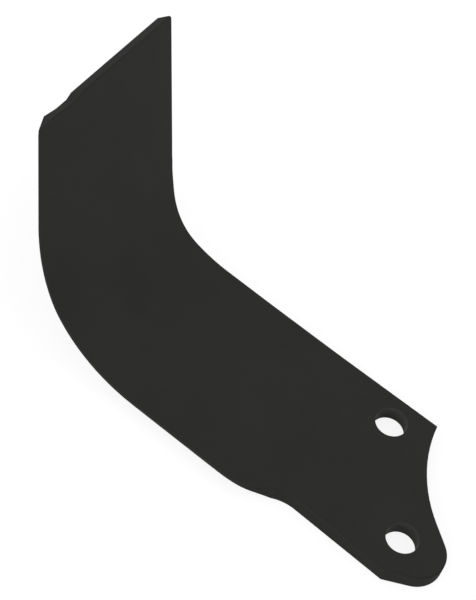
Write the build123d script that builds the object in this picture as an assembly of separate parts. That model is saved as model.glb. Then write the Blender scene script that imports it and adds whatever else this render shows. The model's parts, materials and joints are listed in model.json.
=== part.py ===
from build123d import *
from math import cos, pi, radians, sin, tan
import os

# Rotary tiller blade: one forged plate. The shank is flat and bolts to a rotor flange, and the wing is
# folded up out of it, so that it cuts sideways. Seen from above, the plate also curves towards its back.
# The cutting edge is the long outer edge, drawn out thin by a bevel on the underside.
# Origin: midway between the two bolt holes, on the underside, which is the clamp face.
# +X along the shank from the wing to the bolted end, +Y towards the back edge, +Z to the inside of the fold.

# plate
thickness = 8.0

# bolt holes
hole_diameter = 14.5
hole_spacing = 57.0
hole_line_angle = -50.8

# back edge: a straight run, a long gentle arc, a tight arc into the wing, then straight to the tip
back_straight = 30.0
back_gentle_radius = 3000.0
back_gentle_length = 108.0
back_tight_radius = 45.4

# wing, measured on the flat blank
wing_turn = 33.7
cutting_tight_radius = 66.5
end_x = -229.2
end_tilt = 2.9
tip_radius = 1.2
corner_radius = 4.9

# end of the wing, going in from the bevel: it bulges out where the edge was drawn thin, and has a small step
end_bulge = 0.9
end_bulge_run = 6.5
end_step_gap = 6.2
end_step_run = 3.0
end_step = 1.1

# bolted end: back corner, measured from the back hole; hollow that clears the rotor tube, rounded lobe,
# heel and root edge, measured from the front hole
back_corner = (16.2, 12.8)
hollow_end = (7.3, 15.8)
lobe_apex = (32.3, -2.5)
lobe_radius = 13.0
heel = (3.1, -17.9)
root_edge_end = (-42.8, -16.3)

# cutting edge: drawn out beyond the root edge's line, and flared slightly towards the shoulder, where it
# eases in and then turns up to the root
edge_step = 11.0
edge_flare = 0.8
ease_length = 18.9
ease_rise = 1.1
shoulder_length = 21.8

# bevel on the underside: it starts just outside the root edge's line and thins the plate to the edge
bevel_inset = 0.6
edge_thickness = 1.0

# rounding of the rims on both faces
rim_radius = 0.8

# fold of the wing: a bend about an oblique line, its radius on the inside; on the back edge's line it
# starts ahead of the tight arc by fold_lead
fold_line_angle = 100.1
fold_lead = 19.6
fold_angle = 48.6
fold_radius = 62.0

# size of the tools that trim and cut the plate, larger than the blade
reach = 400.0


def unit(angle):
    return Vector(cos(radians(angle)), sin(radians(angle)))


def meet(p, p_angle, q, q_angle):
    """Point where the line through p meets the line through q."""
    a = unit(p_angle)
    b = unit(q_angle)
    d = q - p
    along = (d.X * b.Y - d.Y * b.X) / (a.X * b.Y - a.Y * b.X)
    return p + a * along


def steps(count):
    return [step / (count - 1) for step in range(count)]


# outline of the blank, laid out flat, with lengths as on the inner face
front_hole = unit(hole_line_angle) * hole_spacing / 2
back_hole = -front_hole
corner = back_hole + Vector(*back_corner)
hollow_foot = front_hole + Vector(*hollow_end)
apex = front_hole + Vector(*lobe_apex)
heel_corner = front_hole + Vector(*heel)
root_end = front_hole + Vector(*root_edge_end)
cutting_y = root_end.Y - edge_step
blade_width = corner.Y - cutting_y
bevel_width = edge_step - bevel_inset
fold_start = back_straight + back_gentle_length - fold_lead
back_turn = back_gentle_length / back_gentle_radius * 180 / pi
wing_angle = 180 - wing_turn

back_run = Line(corner, corner - Vector(back_straight, 0))
back_gentle = JernArc(back_run @ 1, (-1, 0), back_gentle_radius, -back_turn)
back_tight = JernArc(back_gentle @ 1, back_gentle % 1, back_tight_radius, back_turn - wing_turn)
end_foot = Vector(end_x, corner.Y)
end_angle = 90 + end_tilt
tip = meet(back_tight @ 1, wing_angle, end_foot, end_angle)

wing_cutting = back_tight @ 1 + unit(wing_angle + 90) * blade_width
edge_pivot = Vector(corner.X - fold_start, cutting_y)
edge_angle = 180 - edge_flare
edge_turn = wing_turn - edge_flare
knee = meet(wing_cutting, wing_angle, edge_pivot, edge_angle)
knee_setback = cutting_tight_radius * tan(radians(edge_turn / 2))
arc_start = knee - unit(edge_angle) * knee_setback
cutting_arc = JernArc(arc_start, unit(edge_angle), cutting_tight_radius, -edge_turn)
inner_foot = end_foot + Vector(end_step, 0)


def end_point(foot, inward):
    """Point on the end's line through foot, at a distance in from the cutting edge."""
    return meet(cutting_arc @ 1 + unit(wing_angle - 90) * inward, wing_angle, foot, end_angle)


step_in = bevel_width + end_bulge_run + end_step_gap
step_far = end_point(end_foot, step_in + end_step_run)
step_near = end_point(inner_foot, step_in)
bulge_foot = end_point(inner_foot, bevel_width + end_bulge_run)
bulge = end_point(inner_foot, bevel_width) + unit(end_angle + 90) * end_bulge
cutting_corner = end_point(inner_foot, 0)
wing_end = FilletPolyline(back_tight @ 1, tip, step_far, step_near, bulge_foot, bulge, cutting_corner,
                          cutting_arc @ 1, radius=(tip_radius, 0, 0, 0, 0, corner_radius))

shoulder_foot = Vector(root_end.X - shoulder_length, cutting_y + ease_rise)
ease_end = meet(arc_start, edge_angle, shoulder_foot - Vector(ease_length, 0), 90)
root_direction = (root_end - heel_corner).normalized()
shoulder = Spline(ease_end, shoulder_foot, root_end, tangents=[-unit(edge_angle), -root_direction])
cutting_run = Line(arc_start, ease_end)

hollow = TangentArc(hollow_foot, corner, tangent=hollow_foot - apex)
lobe = FilletPolyline(hollow_foot, apex, heel_corner, radius=lobe_radius)
root_edge = Line(heel_corner, root_end)

outline = [back_run, back_gentle, back_tight, cutting_arc, cutting_run]
outline += [shoulder, root_edge, hollow] + wing_end.edges() + lobe.edges()
blank = make_face(outline)

# fold frame: X across the fold towards the wing, Y along the fold line, Z up, origin on the inner face's start
fold_origin = corner - Vector(fold_start, 0)
across = unit(fold_line_angle + 90)
fold_plane = Plane(origin=fold_origin, x_dir=across, z_dir=(0, 0, 1))
blank = fold_plane.to_local_coords(blank)
fold_length = fold_radius * radians(fold_angle)
centre_height = thickness + fold_radius


def folded(p, depth):
    """Point of the folded blade for a point p of the blank, at a depth below the inner face."""
    q = fold_plane.to_local_coords(p)
    turned = min(max(q.X / fold_radius, 0), radians(fold_angle))
    beyond = q.X - turned * fold_radius
    r = fold_radius + depth
    x = r * sin(turned) + beyond * cos(turned)
    z = centre_height - r * cos(turned) + beyond * sin(turned)
    return Vector(x, q.Y, z)


def strip(x_low, x_high):
    """Part of the blank between two lines parallel to the fold line."""
    window = Pos((x_low + x_high) / 2, 0) * Rectangle(x_high - x_low, 2 * reach)
    return blank & window


# flat shank
shank = extrude(strip(-reach, 0), thickness)

# bend: a sector of a hollow cylinder, trimmed square to its surface along the outline
centre = Vector(0, 0, centre_height)
trim_margin = 2.0
sections = []
for share in steps(17):
    cross = blank & Line((share * fold_length, -reach), (share * fold_length, reach))
    low = Vector(0, cross.bounding_box().min.Y)
    high = Vector(0, cross.bounding_box().max.Y)
    angle = share * radians(fold_angle)
    radial = Vector(sin(angle), 0, -cos(angle))
    near = centre + radial * (fold_radius - trim_margin)
    off = centre + radial * (fold_radius + thickness + trim_margin)
    sections.append(Wire.make_polygon([near + low, near + high, off + high, off + low]))
trim = Solid.make_loft(sections)

bend_profile = Circle(fold_radius + thickness) - Circle(fold_radius)
opening = Vector(cos(radians(fold_angle)), sin(radians(fold_angle)))
sector = make_face(Polyline((0, 0), (reach, 0), opening * reach, (0, 0)))
profile_plane = Plane(origin=centre, x_dir=(0, 0, -1), z_dir=(0, -1, 0))
bend = extrude(profile_plane * (bend_profile & sector), reach, both=True) & trim

# wing: flat beyond the bend
slope = Vector(cos(radians(fold_angle)), 0, sin(radians(fold_angle)))
normal = Vector(-sin(radians(fold_angle)), 0, cos(radians(fold_angle)))
wing_plane = Plane(origin=centre - normal * (fold_radius + thickness), x_dir=slope, z_dir=normal)
wing = wing_plane * extrude(Pos(-fold_length, 0) * strip(fold_length, reach), thickness)

blade = shank + bend + wing

# bevel on the underside: wedges laid side by side along the cutting edge
bevel_rise = thickness - edge_thickness
overrun = 4.0


def bevel_section(p, inward):
    """Triangle under the bevel at a point p of the cutting edge."""
    growth = bevel_rise / bevel_width
    deep = folded(p + inward * (bevel_width + overrun), thickness + overrun * growth)
    shallow = folded(p - inward * overrun, edge_thickness - overrun * growth)
    below = folded(p - inward * overrun, thickness + overrun * growth)
    return Wire.make_polygon([deep, shallow, below])


def bevel_piece(points, inwards):
    sections = [bevel_section(p, inward) for p, inward in zip(points, inwards)]
    return Solid.make_loft(sections, ruled=len(sections) == 2)


square = unit(edge_angle - 90)
run_start = meet(arc_start, edge_angle, root_end + Vector(overrun, 0), 90)
fold_foot = meet(fold_origin, fold_line_angle, arc_start, edge_angle)
run_end = fold_foot - unit(edge_angle) * bevel_width
arc_end = cutting_arc @ 1
past_end = cutting_corner + unit(wing_angle) * 2 * bevel_width

bend_points = [run_end + (arc_start - run_end) * share for share in steps(11)]
arc_points = [cutting_arc @ share for share in steps(11)]
arc_inwards = [unit(edge_angle - 90 - edge_turn * share) for share in steps(11)]
bevel = bevel_piece([run_start, run_end], [square, square])
bevel += bevel_piece(bend_points, [square] * len(bend_points))
bevel += bevel_piece(arc_points, arc_inwards)
bevel += bevel_piece([arc_end, past_end], [unit(90 - wing_turn)] * 2)
blade -= bevel

blade = fold_plane.from_local_coords(blade)


# rounded rims: all edges where a side meets one of the two faces squarely
def crease(edge):
    """Angle by which the surface turns at an edge between two faces."""
    sides = [face for face in blade.faces() if any(edge.is_same(other) for other in face.edges())]
    middle = edge @ 0.5
    return sides[0].normal_at(middle).get_angle(sides[-1].normal_at(middle))


rims = [edge for edge in blade.edges() if 80 < crease(edge) < 100]
blade = fillet(rims, min(rim_radius, 0.8 * edge_thickness))

# bolt holes
for hole in (back_hole, front_hole):
    blade -= Pos(hole) * Cylinder(hole_diameter / 2, 4 * thickness)

os.makedirs("parts", exist_ok=True)
export_step(blade, "parts/tiller_blade.step")
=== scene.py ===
import json
from math import atan2, cos, hypot, radians, sin

import bpy
from bpy.props import FloatProperty, FloatVectorProperty, IntProperty, PointerProperty
from mathutils import Euler, Matrix, Vector
from mathutils.bvhtree import BVHTree


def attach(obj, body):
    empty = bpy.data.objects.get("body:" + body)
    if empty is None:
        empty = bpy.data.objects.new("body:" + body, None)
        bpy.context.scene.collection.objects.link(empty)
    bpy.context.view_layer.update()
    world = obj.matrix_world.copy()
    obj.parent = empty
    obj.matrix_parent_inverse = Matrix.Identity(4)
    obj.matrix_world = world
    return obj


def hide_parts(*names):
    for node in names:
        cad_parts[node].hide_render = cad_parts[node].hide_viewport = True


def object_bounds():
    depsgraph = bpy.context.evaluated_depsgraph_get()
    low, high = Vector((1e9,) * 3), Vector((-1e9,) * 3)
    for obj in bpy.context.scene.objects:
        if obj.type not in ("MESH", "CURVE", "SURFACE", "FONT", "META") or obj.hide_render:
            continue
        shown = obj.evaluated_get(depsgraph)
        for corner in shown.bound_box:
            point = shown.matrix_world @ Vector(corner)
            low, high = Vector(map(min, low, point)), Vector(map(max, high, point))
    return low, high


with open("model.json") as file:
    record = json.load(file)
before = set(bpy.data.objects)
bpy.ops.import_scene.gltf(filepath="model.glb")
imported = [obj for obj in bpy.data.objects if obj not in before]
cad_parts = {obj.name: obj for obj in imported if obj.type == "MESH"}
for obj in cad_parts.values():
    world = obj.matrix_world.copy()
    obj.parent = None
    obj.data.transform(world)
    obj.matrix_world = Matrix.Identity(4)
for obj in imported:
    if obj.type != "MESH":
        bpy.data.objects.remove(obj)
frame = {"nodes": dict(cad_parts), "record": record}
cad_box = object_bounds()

bl_info = {
    "name": "Rotary Tiller Blade",
    "version": (1, 0, 0),
    "blender": (4, 5, 0),
    "location": "View3D > Sidebar > Tiller Blade",
    "description": "Forged rotary tiller blade with painted faces, sheared sides and a plain studio",
    "category": "Object",
}

# bolt holes, which go through the whole plate
bores = [mount for mount in frame["record"]["mounts"] if mount["kind"] == "bore"]
hole_centres = [Vector(bore["pos_m"]) for bore in bores]
hole_radius = bores[0]["dims"]["r_mm"] / 1000
plate_thickness = bores[0]["dims"]["length_mm"] / 1000

# fold of the wing, its line through fold_origin and its radius on the inside
fold_origin = Vector((-0.12021, 0.03489, 0.0))
fold_line_angle = radians(100.1)
fold_angle = radians(48.6)
fold_radius = 0.062

# rounded rims on both faces, and how deep under a face they can reach
rim_radius = 0.0008
rim_reach = 1.04 * rim_radius

# kinds of surface, in the order of the blade's materials
LARGE_FACE, SIDE, HOLE_WALL, RIM = range(4)

white = (1.0, 1.0, 1.0, 1.0)


class BladeForm(bpy.types.PropertyGroup):
    hole_rim: FloatProperty(
        name="Hole rim",
        description="Rounding of the bolt holes' rims",
        default=0.00025, min=0.0, max=0.002, unit="LENGTH", precision=5)
    segments: IntProperty(
        name="Segments",
        description="Steps in the rounding",
        default=3, min=1, max=6)


class BladeFinish(bpy.types.PropertyGroup):
    paint_color: FloatVectorProperty(
        name="Paint colour",
        description="Black paint on the faces",
        default=(0.0184, 0.0184, 0.0176), min=0.0, max=1.0, subtype="COLOR")
    thin_paint_color: FloatVectorProperty(
        name="Thin paint colour",
        description="Black paint where it lies thinner over the forging skin",
        default=(0.0208, 0.0207, 0.0197), min=0.0, max=1.0, subtype="COLOR")
    side_color: FloatVectorProperty(
        name="Side colour",
        description="Paint over the sheared sides",
        default=(0.0203, 0.0203, 0.0195), min=0.0, max=1.0, subtype="COLOR")
    # painted shade: the rims' paint is darker than the face paint, to tone down the highlight lines along
    # the rounded rims
    rim_color: FloatVectorProperty(
        name="Rim colour",
        description="Paint over the rounded rims",
        default=(0.0167, 0.0166, 0.0159), min=0.0, max=1.0, subtype="COLOR")
    # painted light: the hole walls' paint is lightened far past the face paint, to stand in for light in
    # the shade inside the bolt holes
    hole_painted_light_color: FloatVectorProperty(
        name="Hole colour",
        description="Thin paint on the walls of the bolt holes",
        default=(0.0530, 0.0524, 0.0502), min=0.0, max=1.0, subtype="COLOR")
    roughness: FloatProperty(
        name="Roughness",
        description="Roughness of the painted faces",
        default=0.50, min=0.0, max=1.0, subtype="FACTOR")
    gloss: FloatProperty(
        name="Gloss",
        description="Strength of the paint's reflection",
        default=0.10, min=0.0, max=1.0, subtype="FACTOR")
    side_gloss: FloatProperty(
        name="Side gloss",
        description="Strength of the reflection on the rougher sides and in the holes",
        default=0.02, min=0.0, max=1.0, subtype="FACTOR")
    grain_size: FloatProperty(
        name="Grain size",
        description="Size of the fine grain in the paint",
        default=0.0009, min=0.0001, max=0.01, unit="LENGTH", precision=5)
    grain_depth: FloatProperty(
        name="Grain depth",
        description="Height of the fine grain",
        default=0.00002, min=0.0, max=0.001, unit="LENGTH", precision=6)
    shear_mark_size: FloatProperty(
        name="Shear mark size",
        description="Width of the marks through the thickness of the sheared sides",
        default=0.0008, min=0.0001, max=0.01, unit="LENGTH", precision=5)
    shear_mark_depth: FloatProperty(
        name="Shear mark depth",
        description="Height of the shear marks",
        default=0.00006, min=0.0, max=0.001, unit="LENGTH", precision=6)
    pit_depth: FloatProperty(
        name="Pit depth",
        description="Depth of the shallow pits that forging scale leaves under the paint",
        default=0.00003, min=0.0, max=0.001, unit="LENGTH", precision=6)


class StudioSetup(bpy.types.PropertyGroup):
    target: FloatVectorProperty(
        name="Target",
        description="Point at the middle of the picture",
        default=(-0.10655, 0.02626, 0.00795), subtype="TRANSLATION")
    azimuth: FloatProperty(
        name="Azimuth",
        description="Camera's turn round the blade",
        default=radians(24.314), subtype="ANGLE")
    elevation: FloatProperty(
        name="Elevation",
        description="Camera's angle above the floor",
        default=radians(51.969), subtype="ANGLE")
    roll: FloatProperty(
        name="Roll",
        description="Camera's turn about its own axis",
        default=radians(16.568), subtype="ANGLE")
    distance: FloatProperty(
        name="Distance",
        description="Camera's distance from the target",
        default=0.8, min=0.1, max=10.0, subtype="DISTANCE")
    lens: FloatProperty(
        name="Lens",
        description="Focal length for a 36 mm long side, in millimetres",
        default=107.235, min=10.0, max=500.0, unit="CAMERA")
    world_strength: FloatProperty(
        name="World strength",
        description="Even light from all round",
        default=0.83, min=0.0, max=2.0)
    key_place: FloatVectorProperty(
        name="Key place",
        description="Place of the large lamp in front of the cutting edge, measured from the target",
        default=(-0.1, -1.45, 0.55), subtype="TRANSLATION")
    key_size: FloatProperty(
        name="Key size",
        description="Width of the large lamp",
        default=1.0, min=0.01, max=10.0, subtype="DISTANCE")
    key_strength: FloatProperty(
        name="Key strength",
        description="Power of the large lamp, in watts",
        default=9.0, min=0.0, max=100.0, unit="POWER")
    floor_size: FloatProperty(
        name="Floor size",
        description="Width of the studio floor",
        default=6.0, min=0.5, max=50.0, subtype="DISTANCE")
    floor_color: FloatVectorProperty(
        name="Floor colour",
        description="Colour of the studio floor, as it lights the blade",
        default=(0.8, 0.8, 0.8), min=0.0, max=1.0, subtype="COLOR")
    shadow_color: FloatVectorProperty(
        name="Shaded colour",
        description="Part of the floor's colour, as the camera sees it, that a shadow takes away",
        default=(0.2, 0.2, 0.2), min=0.0, max=1.0, subtype="COLOR")
    floor_lift: FloatProperty(
        name="Floor lift",
        description="White that the floor shows to the camera by itself",
        default=0.85, min=0.0, max=1.0, subtype="FACTOR")


def use_only(obj):
    """Select and activate one object alone."""
    if bpy.context.object and bpy.context.object.mode != "OBJECT":
        bpy.ops.object.mode_set(mode="OBJECT")
    bpy.ops.object.select_all(action="DESELECT")
    obj.select_set(True)
    bpy.context.view_layer.objects.active = obj


def merge_facets():
    """Join the loose triangles of the active object, and dissolve the lines across its flat areas."""
    merge_distance = 1e-6
    flat_angle = radians(0.3)
    bpy.ops.object.mode_set(mode="EDIT")
    bpy.ops.mesh.select_all(action="SELECT")
    bpy.ops.mesh.remove_doubles(threshold=merge_distance)
    bpy.ops.mesh.dissolve_limited(angle_limit=flat_angle)
    bpy.ops.object.mode_set(mode="OBJECT")


def on_hole_rim(mesh, edge):
    """True for an edge of a bolt hole's rim on either face."""
    level_slack = 1e-5
    circle_slack = 1e-4
    points = [mesh.vertices[index].co for index in edge.vertices]
    if abs(points[0].z - points[1].z) > level_slack:
        return False
    for centre in hole_centres:
        gaps = [abs((point.xy - centre.xy).length - hole_radius) for point in points]
        if max(gaps) < circle_slack:
            return True
    return False


def round_hole_rims(blade, width, segments):
    """Round the rims of the active blade's bolt holes on both faces."""
    bpy.ops.object.mode_set(mode="EDIT")
    bpy.ops.mesh.select_mode(type="EDGE")
    bpy.ops.mesh.select_all(action="DESELECT")
    bpy.ops.object.mode_set(mode="OBJECT")
    for edge in blade.data.edges:
        edge.select = on_hole_rim(blade.data, edge)
    bpy.ops.object.mode_set(mode="EDIT")
    bpy.ops.mesh.bevel(offset=width, segments=segments, affect="EDGES", clamp_overlap=True)
    bpy.ops.object.mode_set(mode="OBJECT")


def on_blank(point):
    """Place of a point on the flat blank, before the fold: across the fold, along it, and depth."""
    offset = point - fold_origin
    across = Vector((-sin(fold_line_angle), cos(fold_line_angle), 0.0))
    along = Vector((cos(fold_line_angle), sin(fold_line_angle), 0.0))
    x = offset.dot(across)
    y = offset.dot(along)
    from_centre = plate_thickness + fold_radius - offset.z
    turned = atan2(x, from_centre)
    if x <= 0.0:
        return x, y, plate_thickness - offset.z
    if turned < fold_angle:
        return turned * fold_radius, y, hypot(x, from_centre) - fold_radius
    beyond = x * cos(fold_angle) - from_centre * sin(fold_angle)
    depth = x * sin(fold_angle) + from_centre * cos(fold_angle) - fold_radius
    return fold_angle * fold_radius + beyond, y, depth


def from_nearer_face(depth):
    """Distance of a depth on the blank from the nearer of the two large faces."""
    return min(depth, plate_thickness - depth)


def true_corners(mesh):
    """Edges where sides, large faces or the bevel meet at an angle, leaving out the rounded rims.

    The short facets where two rims meet at a corner continue it, so they are added to it one by one.
    """
    side_turn = radians(26)
    bevel_turn = (radians(32), radians(40))
    short_turn = radians(30)
    short_length = 3e-4
    underside_slack = 2e-5
    beside = {}
    for face in mesh.polygons:
        for key in face.edge_keys:
            beside.setdefault(key, []).append(face.normal.copy())
    corners = set()
    short_creases = []
    for key, normals in beside.items():
        turn = normals[0].angle(normals[1], 0.0) if len(normals) == 2 else 0.0
        start, end = (mesh.vertices[index].co for index in key)
        depth = on_blank((start + end) / 2)[2]
        on_side = from_nearer_face(depth) > rim_reach
        on_underside = depth > plate_thickness - underside_slack
        if (on_side and turn > side_turn) or (on_underside and bevel_turn[0] < turn < bevel_turn[1]):
            corners.add(key)
        elif turn > short_turn and (end - start).length < short_length:
            short_creases.append(key)
    added = corners
    while added:
        ends = {index for key in added for index in key}
        added = {key for key in short_creases if ends.intersection(key)} - corners
        corners = corners | added
    return corners


def smooth_between_corners(blade):
    """Shade the active blade smooth, apart from its true corners."""
    bpy.ops.object.shade_smooth()
    corners = true_corners(blade.data)
    for edge in blade.data.edges:
        edge.use_edge_sharp = edge.key in corners
    weighted = blade.modifiers.new("even_faces", "WEIGHTED_NORMAL")
    weighted.keep_sharp = True
    bpy.ops.object.modifier_apply(modifier=weighted.name)


def surface_kinds(mesh):
    """Kind of surface of each face.

    The walls of the holes are told by their place. Elsewhere the kind follows from how far the steel goes
    in behind the face: little behind a large face or the bevel, and much behind a side. A rounded rim lies
    in between, and close to one of the large faces.
    """
    wall_slack = 0.0006
    level_normal = 0.9
    start_depth = 1e-4
    no_end = 1.0
    through_plate = 1.25 * plate_thickness
    through_rim = (plate_thickness, 2.9 * plate_thickness)

    def in_hole(face):
        from_axis = min((face.center.xy - centre.xy).length for centre in hole_centres)
        return from_axis < hole_radius + wall_slack and abs(face.normal.z) < level_normal

    points = [vertex.co for vertex in mesh.vertices]
    outside = [tuple(face.vertices) for face in mesh.polygons if not in_hole(face)]
    tree = BVHTree.FromPolygons(points, outside)
    kinds = []
    for face in mesh.polygons:
        steel = tree.ray_cast(face.center - face.normal * start_depth, -face.normal)[3] or no_end
        near_face = from_nearer_face(on_blank(face.center)[2]) < rim_reach
        if in_hole(face):
            kinds.append(HOLE_WALL)
        elif near_face and through_rim[0] < steel < through_rim[1]:
            kinds.append(RIM)
        elif steel < through_plate:
            kinds.append(LARGE_FACE)
        else:
            kinds.append(SIDE)
    return kinds


def forging_skin():
    """Group: broad mottling, scale pits, and the height of the fine grain and the pits, in metres."""
    group = bpy.data.node_groups.get("forging_skin")
    if group:
        return group
    group = bpy.data.node_groups.new("forging_skin", "ShaderNodeTree")
    defaults = {"Grain Size": 0.001, "Grain Depth": 0.00002, "Pit Size": 0.004, "Pit Depth": 0.00003,
                "Mottle Size": 0.03}
    for name, default in defaults.items():
        value = group.interface.new_socket(name=name, in_out="INPUT", socket_type="NodeSocketFloat")
        value.default_value = default
    for name in ("Mottle", "Pits", "Height"):
        group.interface.new_socket(name=name, in_out="OUTPUT", socket_type="NodeSocketFloat")
    nodes, links = group.nodes, group.links
    entry = nodes.new("NodeGroupInput")
    leave = nodes.new("NodeGroupOutput")
    place = nodes.new("ShaderNodeTexCoord")

    def per_metre(size_name):
        scale = nodes.new("ShaderNodeMath")
        scale.operation = "DIVIDE"
        scale.inputs[0].default_value = 1.0
        links.new(entry.outputs[size_name], scale.inputs[1])
        return scale.outputs[0]

    def noise(size_name, detail, roughness):
        texture = nodes.new("ShaderNodeTexNoise")
        texture.inputs["Detail"].default_value = detail
        texture.inputs["Roughness"].default_value = roughness
        links.new(place.outputs["Object"], texture.inputs["Vector"])
        links.new(per_metre(size_name), texture.inputs["Scale"])
        return texture.outputs["Fac"]

    def ramp(value, low, high, at_low=0.0, at_high=1.0):
        spread = nodes.new("ShaderNodeMapRange")
        spread.interpolation_type = "SMOOTHSTEP"
        spread.inputs["From Min"].default_value = low
        spread.inputs["From Max"].default_value = high
        spread.inputs["To Min"].default_value = at_low
        spread.inputs["To Max"].default_value = at_high
        links.new(value, spread.inputs["Value"])
        return spread.outputs["Result"]

    def combine(operation, first, second):
        joined = nodes.new("ShaderNodeMath")
        joined.operation = operation
        links.new(first, joined.inputs[0])
        links.new(second, joined.inputs[1])
        return joined.outputs[0]

    mottle = ramp(noise("Mottle Size", detail=4.0, roughness=0.6), low=0.36, high=0.64)
    grain = noise("Grain Size", detail=3.0, roughness=0.55)
    cells = nodes.new("ShaderNodeTexVoronoi")
    links.new(place.outputs["Object"], cells.inputs["Vector"])
    links.new(per_metre("Pit Size"), cells.inputs["Scale"])
    raggedness = 0.45
    ragged = nodes.new("ShaderNodeMath")
    ragged.operation = "MULTIPLY_ADD"
    ragged.inputs[1].default_value = raggedness
    links.new(noise("Pit Size", detail=3.0, roughness=0.7), ragged.inputs[0])
    links.new(cells.outputs["Distance"], ragged.inputs[2])
    hollows = ramp(ragged.outputs[0], low=0.26, high=0.46, at_low=1.0, at_high=0.0)
    patches = ramp(noise("Mottle Size", detail=2.0, roughness=0.5), low=0.52, high=0.64)
    pits = combine("MULTIPLY", hollows, patches)
    height = combine("SUBTRACT", combine("MULTIPLY", grain, entry.outputs["Grain Depth"]),
                     combine("MULTIPLY", pits, entry.outputs["Pit Depth"]))
    links.new(mottle, leave.inputs["Mottle"])
    links.new(pits, leave.inputs["Pits"])
    links.new(height, leave.inputs["Height"])
    return group


def painted_steel(name, color, thin_color, roughness, gloss, grain_size, grain_depth, pit_depth=0.0):
    """Satin black paint over forged steel, thinner in broad patches and duller in the pits."""
    # change of the roughness, from the thick paint to the thin, and in the pits
    smoother = 0.01
    rougher = 0.02
    pit_dulling = 0.12
    material = bpy.data.materials.new(name)
    material.use_nodes = True
    nodes, links = material.node_tree.nodes, material.node_tree.links
    shader = nodes["Principled BSDF"]
    shader.inputs["Specular IOR Level"].default_value = gloss
    skin = nodes.new("ShaderNodeGroup")
    skin.node_tree = forging_skin()
    skin.inputs["Grain Size"].default_value = grain_size
    skin.inputs["Grain Depth"].default_value = grain_depth
    skin.inputs["Pit Depth"].default_value = pit_depth
    blend = nodes.new("ShaderNodeMix")
    blend.data_type = "RGBA"
    blend.inputs["A"].default_value = (*color, 1.0)
    blend.inputs["B"].default_value = (*thin_color, 1.0)
    links.new(skin.outputs["Mottle"], blend.inputs["Factor"])
    links.new(blend.outputs["Result"], shader.inputs["Base Color"])
    satin = nodes.new("ShaderNodeMapRange")
    satin.inputs["To Min"].default_value = roughness - smoother
    satin.inputs["To Max"].default_value = roughness + rougher
    links.new(skin.outputs["Mottle"], satin.inputs["Value"])
    dulling = nodes.new("ShaderNodeMath")
    dulling.operation = "MULTIPLY_ADD"
    dulling.inputs[1].default_value = pit_dulling
    links.new(skin.outputs["Pits"], dulling.inputs[0])
    links.new(satin.outputs["Result"], dulling.inputs[2])
    links.new(dulling.outputs[0], shader.inputs["Roughness"])
    bump = nodes.new("ShaderNodeBump")
    bump.inputs["Strength"].default_value = 1.0
    bump.inputs["Distance"].default_value = 1.0
    links.new(skin.outputs["Height"], bump.inputs["Height"])
    links.new(bump.outputs["Normal"], shader.inputs["Normal"])
    return material


def add_shear_marks(material, mark_size, mark_depth):
    """Add the marks of a sheared side: fine ones through the thickness, and a torn band below them."""
    stretch_through = 0.06
    torn_fineness = 0.6
    # where the cut band ends and the torn one starts, as parts of the thickness
    cut_end = 0.35
    torn_start = 0.5
    nodes, links = material.node_tree.nodes, material.node_tree.links
    bump = nodes["Bump"]
    before = bump.inputs["Height"].links[0].from_socket
    place = nodes.new("ShaderNodeAttribute")
    place.attribute_name = "blank_place"
    flat = nodes.new("ShaderNodeVectorMath")
    flat.operation = "MULTIPLY"
    flat.inputs[1].default_value = (1.0, 1.0, stretch_through)
    links.new(place.outputs["Vector"], flat.inputs[0])
    marks = nodes.new("ShaderNodeTexNoise")
    marks.inputs["Scale"].default_value = 1.0 / mark_size
    marks.inputs["Detail"].default_value = 3.0
    links.new(flat.outputs["Vector"], marks.inputs["Vector"])
    torn = nodes.new("ShaderNodeTexNoise")
    torn.inputs["Scale"].default_value = torn_fineness / mark_size
    torn.inputs["Detail"].default_value = 5.0
    torn.inputs["Roughness"].default_value = 0.7
    links.new(place.outputs["Vector"], torn.inputs["Vector"])
    split = nodes.new("ShaderNodeSeparateXYZ")
    links.new(place.outputs["Vector"], split.inputs["Vector"])
    lower = nodes.new("ShaderNodeMapRange")
    lower.interpolation_type = "SMOOTHSTEP"
    lower.inputs["From Min"].default_value = cut_end * plate_thickness
    lower.inputs["From Max"].default_value = torn_start * plate_thickness
    links.new(split.outputs["Z"], lower.inputs["Value"])
    texture = nodes.new("ShaderNodeMix")
    links.new(lower.outputs["Result"], texture.inputs["Factor"])
    links.new(marks.outputs["Fac"], texture.inputs["A"])
    links.new(torn.outputs["Fac"], texture.inputs["B"])
    height = nodes.new("ShaderNodeMath")
    height.operation = "MULTIPLY_ADD"
    height.inputs[1].default_value = mark_depth
    links.new(texture.outputs["Result"], height.inputs[0])
    links.new(before, height.inputs[2])
    links.new(height.outputs[0], bump.inputs["Height"])


def tinted(color, factor):
    """Colour with each of its parts multiplied by the factor."""
    return [factor * part for part in color]


def blade_materials(finish):
    """Materials of the blade, in the order of the kinds of surface."""
    side_roughening = 0.1
    hole_grain = 0.6
    # second colour of each paint, as a multiple of its first
    side_patches = 1.12
    hole_patches = 0.8
    rim_patches = 0.9
    face_paint = painted_steel(
        "black_paint", finish.paint_color, finish.thin_paint_color, finish.roughness, finish.gloss,
        finish.grain_size, finish.grain_depth, finish.pit_depth)
    side_paint = painted_steel(
        "painted_side", finish.side_color, tinted(finish.side_color, side_patches),
        finish.roughness + side_roughening, finish.side_gloss, finish.grain_size, finish.grain_depth)
    add_shear_marks(side_paint, finish.shear_mark_size, finish.shear_mark_depth)
    # hole walls: colour lightened as painted light in the shade inside the holes
    hole_paint = painted_steel(
        "bolt_hole_wall", finish.hole_painted_light_color, tinted(finish.hole_painted_light_color, hole_patches),
        finish.roughness, finish.side_gloss, finish.grain_size * hole_grain, finish.grain_depth)
    # rounded rims: colour darkened as painted shade against their highlight lines
    rim_paint = painted_steel(
        "painted_rim", finish.rim_color, tinted(finish.rim_color, rim_patches),
        finish.roughness, finish.gloss, finish.grain_size, finish.grain_depth)
    return face_paint, side_paint, hole_paint, rim_paint


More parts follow.
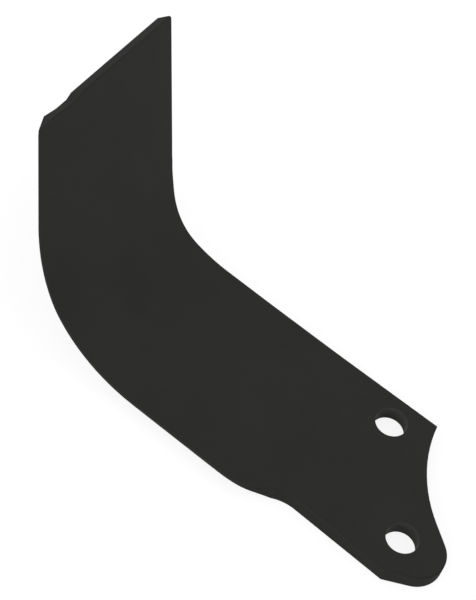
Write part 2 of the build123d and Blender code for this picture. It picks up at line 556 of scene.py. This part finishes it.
def seen_directly(tree):
    """Socket that is 1 where the camera sees something itself, in a reflection or through glass, else 0."""
    path = tree.nodes.new("ShaderNodeLightPath")
    seen = path.outputs["Is Camera Ray"]
    for ray in ("Is Glossy Ray", "Is Transmission Ray"):
        either = tree.nodes.new("ShaderNodeMath")
        either.operation = "MAXIMUM"
        tree.links.new(seen, either.inputs[0])
        tree.links.new(path.outputs[ray], either.inputs[1])
        seen = either.outputs[0]
    return seen


def floor_material(color, shown_color, lift_strength):
    """White studio floor: the camera sees it nearly white by itself, with a faint shadow on it."""
    material = bpy.data.materials.new("studio_floor")
    material.use_nodes = True
    nodes, links = material.node_tree.nodes, material.node_tree.links
    shader = nodes["Principled BSDF"]
    shader.inputs["Roughness"].default_value = 1.0
    shader.inputs["Specular IOR Level"].default_value = 0.0
    shader.inputs["Emission Color"].default_value = white
    seen = seen_directly(material.node_tree)
    shown = nodes.new("ShaderNodeMix")
    shown.data_type = "RGBA"
    shown.inputs["A"].default_value = (*color, 1.0)
    shown.inputs["B"].default_value = (*shown_color, 1.0)
    links.new(seen, shown.inputs["Factor"])
    links.new(shown.outputs["Result"], shader.inputs["Base Color"])
    lift = nodes.new("ShaderNodeMath")
    lift.operation = "MULTIPLY"
    lift.inputs[1].default_value = lift_strength
    links.new(seen, lift.inputs[0])
    links.new(lift.outputs[0], shader.inputs["Emission Strength"])
    return material


def add_floor(studio):
    """Floor under the blade, a little below it."""
    gap = 0.0002
    bpy.ops.mesh.primitive_plane_add(size=studio.floor_size, location=(0.0, 0.0, cad_box[0].z - gap))
    floor = bpy.context.object
    floor.name = "studio_floor"
    bpy.ops.object.transform_apply(location=True, rotation=True, scale=True)
    floor.data.materials.append(floor_material(studio.floor_color, studio.shadow_color, studio.floor_lift))


def studio_world(even_strength):
    """World that is white where it is seen, and lights the blade evenly with the given strength."""
    world = bpy.data.worlds.new("studio_world")
    world.use_nodes = True
    nodes, links = world.node_tree.nodes, world.node_tree.links
    light = nodes["Background"]
    light.inputs["Color"].default_value = white
    strength = nodes.new("ShaderNodeMapRange")
    strength.inputs["To Min"].default_value = even_strength
    strength.inputs["To Max"].default_value = 1.0
    links.new(seen_directly(world.node_tree), strength.inputs["Value"])
    links.new(strength.outputs["Result"], light.inputs["Strength"])
    return world


def add_key_lamp(target, offset, size, power):
    """Square lamp at an offset from the target, turned towards it."""
    bpy.ops.object.light_add(type="AREA", location=target + offset)
    lamp = bpy.context.object
    lamp.name = "key_lamp"
    lamp.data.size = size
    lamp.data.energy = power
    lamp.rotation_euler = (-offset).to_track_quat("-Z", "Y").to_euler()


def add_camera(target, studio):
    """Camera that looks at the target from the studio's angles and distance."""
    turn = Euler((radians(90) - studio.elevation, 0.0, studio.azimuth)).to_matrix()
    turn = turn @ Matrix.Rotation(studio.roll, 3, "Z")
    back = turn @ Vector((0.0, 0.0, 1.0))
    bpy.ops.object.camera_add(location=target + back * studio.distance, rotation=turn.to_euler())
    camera = bpy.context.object
    camera.data.sensor_width = 36.0
    camera.data.lens = studio.lens
    camera.data.clip_start = 0.05
    camera.data.clip_end = 20.0
    return camera


class OBJECT_OT_forge_blade(bpy.types.Operator):
    """Round the rims of the blade's bolt holes, shade it and paint it"""
    bl_idname = "object.forge_blade"
    bl_label = "Forge Blade"

    def execute(self, context):
        form = context.scene.blade_form
        blade = bpy.data.objects.new("forged_blade", frame["nodes"]["tiller_blade"].data.copy())
        context.scene.collection.objects.link(blade)
        use_only(blade)
        merge_facets()
        round_hole_rims(blade, form.hole_rim, form.segments)
        smooth_between_corners(blade)
        mesh = blade.data
        mesh.materials.clear()
        for material in blade_materials(context.scene.blade_finish):
            mesh.materials.append(material)
        places = mesh.attributes.new("blank_place", "FLOAT_VECTOR", "POINT")
        for vertex in mesh.vertices:
            places.data[vertex.index].vector = on_blank(vertex.co)
        for face, kind in zip(mesh.polygons, surface_kinds(mesh)):
            face.material_index = kind
        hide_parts("tiller_blade")
        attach(blade, "root")
        return {"FINISHED"}


class OBJECT_OT_blade_studio(bpy.types.Operator):
    """Add the floor, the world, the lamp and the camera"""
    bl_idname = "object.blade_studio"
    bl_label = "Studio"

    def execute(self, context):
        scene = context.scene
        studio = scene.blade_studio
        target = Vector(studio.target)
        bpy.ops.object.select_all(action="DESELECT")
        add_floor(studio)
        scene.world = studio_world(studio.world_strength)
        add_key_lamp(target, Vector(studio.key_place), studio.key_size, studio.key_strength)
        scene.camera = add_camera(target, studio)
        scene.view_settings.view_transform = "Standard"
        return {"FINISHED"}


class VIEW3D_PT_tiller_blade(bpy.types.Panel):
    bl_label = "Tiller Blade"
    bl_space_type = "VIEW_3D"
    bl_region_type = "UI"
    bl_category = "Tiller Blade"

    def draw(self, context):
        layout = self.layout
        for title, name in (("Form", "blade_form"), ("Finish", "blade_finish"), ("Studio", "blade_studio")):
            settings = getattr(context.scene, name)
            box = layout.box()
            box.label(text=title)
            for field in settings.__annotations__:
                box.prop(settings, field)
        layout.operator("object.forge_blade")
        layout.operator("object.blade_studio")


classes = (BladeForm, BladeFinish, StudioSetup, OBJECT_OT_forge_blade, OBJECT_OT_blade_studio,
           VIEW3D_PT_tiller_blade)


def register():
    for item in classes:
        bpy.utils.register_class(item)
    bpy.types.Scene.blade_form = PointerProperty(type=BladeForm)
    bpy.types.Scene.blade_finish = PointerProperty(type=BladeFinish)
    bpy.types.Scene.blade_studio = PointerProperty(type=StudioSetup)


def unregister():
    for name in ("blade_form", "blade_finish", "blade_studio"):
        delattr(bpy.types.Scene, name)
    for item in reversed(classes):
        bpy.utils.unregister_class(item)


def main():
    register()
    bpy.ops.object.forge_blade()
    bpy.ops.object.blade_studio()


if __name__ == "__main__":
    main()
